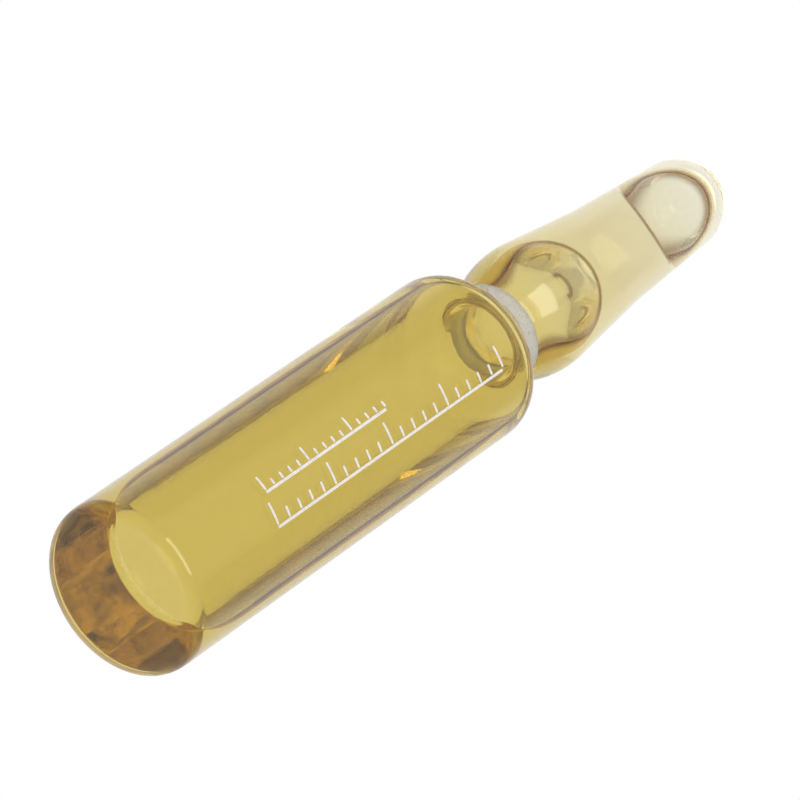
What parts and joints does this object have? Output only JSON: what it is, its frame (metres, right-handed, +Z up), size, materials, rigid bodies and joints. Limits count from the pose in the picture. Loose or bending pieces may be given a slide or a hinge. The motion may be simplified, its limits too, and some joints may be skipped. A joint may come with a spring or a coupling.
{
  "type": "glass ampoule",
  "caption": "Sealed amber glass ampoule with a flat base, a necked stem with an enamel break ring and clear liquid inside, for one dose of a liquid medicine or serum.",
  "frame": {"origin": "centre of the flat base that the ampoule stands on", "axes": "+Z up along the axis to the sealed tip, -Y towards the side with the printed marks, +X to the right of it"},
  "size_m": [0.0108, 0.0108, 0.0595],
  "materials": {
    "amber_glass": "clear gloss",
    "ring_enamel": "fired enamel, speckled",
    "liquid": "clear"
  },
  "bodies": {
    "root": {"glass_ampoule": "amber_glass", "break_ring": "ring_enamel", "liquid": "liquid"}
  },
  "joints": []
}
